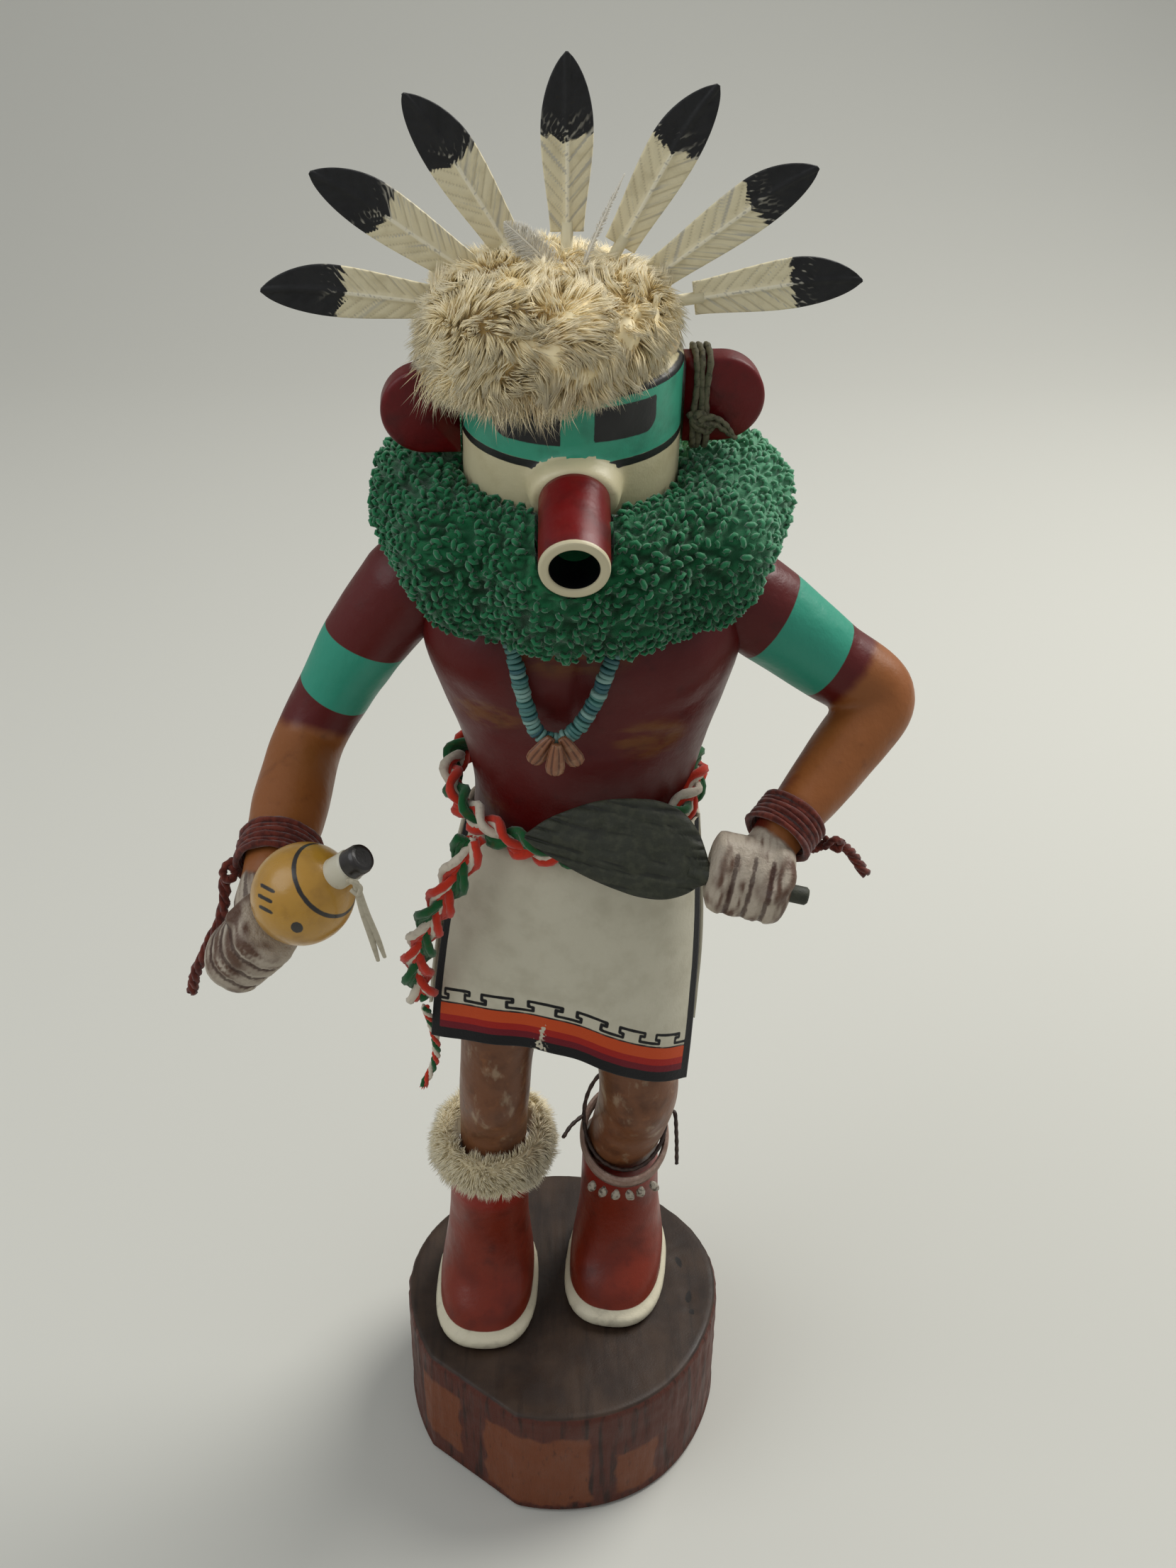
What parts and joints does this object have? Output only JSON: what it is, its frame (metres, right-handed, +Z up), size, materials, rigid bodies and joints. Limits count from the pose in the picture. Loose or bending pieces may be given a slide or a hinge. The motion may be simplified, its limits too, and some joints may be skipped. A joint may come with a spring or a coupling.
{
  "type": "carved kachina doll",
  "caption": "Carved and painted wooden dancer figure on a log-slice plinth, with mask and tube snout, feather fan, fur and yarn collar, leather kilt, braided sash, gourd rattle and leaf wand",
  "frame": {"origin": "centre of the plinth's flat underside", "axes": "+Z up, the figure faces -Y, its left side is at +X"},
  "size_m": [0.1775, 0.1254, 0.4102],
  "materials": {
    "plinth": "dark brown stain on top, red-brown varnished bark side",
    "body": "carved and painted: dark red, ochre, brown legs, red-brown boots with white soles, satin varnish",
    "arm": "carved and painted dark red, turquoise and ochre-brown, whitened hands, satin",
    "mask": "painted turquoise over cream with a black line and black eyes, satin",
    "red_wood": "painted dark red, satin",
    "feather": "carved blade, cream paint with a black tip, matt",
    "fur": "cream rabbit fur",
    "down": "white down on a fine quill",
    "yarn_green": "green looped wool yarn",
    "yarn_sash": "braided yarn in red-orange, white and green",
    "yarn_brown": "dark red-brown twisted yarn",
    "cord_dark": "thin dark leather cord",
    "thong": "olive-tan leather thong",
    "thong_white": "thin white leather thong",
    "strap": "pinkish-grey soft leather band",
    "nub": "silvery white, semi-gloss",
    "gourd": "painted yellow with black marks, white neck and black tip, gloss",
    "wand": "grooved, dark green paint, matt",
    "beads": "small flat turquoise discs, satin",
    "shell": "brown-orange ribbed shell",
    "kilt": "thin greyish-white leather, painted black border and a step-fret band over orange, red and dark red stripes"
  },
  "bodies": {
    "root": {"feather_1": "feather", "feather_2": "feather", "feather_3": "feather", "feather_4": "feather", "feather_5": "feather", "feather_6": "feather", "feather_7": "feather", "mask": "mask", "snout": "red_wood", "right_ear": "red_wood", "left_ear": "red_wood", "ear_tie": "thong", "fur_crown": "fur", "plinth": "plinth", "plume_1": "down", "plume_2": "down", "body": "body", "right_arm": "arm", "left_arm": "arm", "rattle": "gourd", "wand": "wand", "right_wrist_wrap": "yarn_brown", "right_wrist_tail": "yarn_brown", "left_wrist_wrap": "yarn_brown", "rattle_thong": "thong_white", "necklace": "beads", "pendant_1": "shell", "pendant_2": "shell", "pendant_3": "shell", "yarn_ruff": "yarn_green", "sash": "yarn_sash", "sash_end": "yarn_sash", "sash_strand": "yarn_sash", "kilt_front": "kilt", "kilt_back": "kilt", "fur_anklet": "fur", "knee_band": "strap", "knee_cord": "cord_dark", "nub_1": "nub", "nub_2": "nub", "nub_3": "nub", "nub_4": "nub", "nub_5": "nub", "nub_6": "nub"}
  },
  "joints": []
}
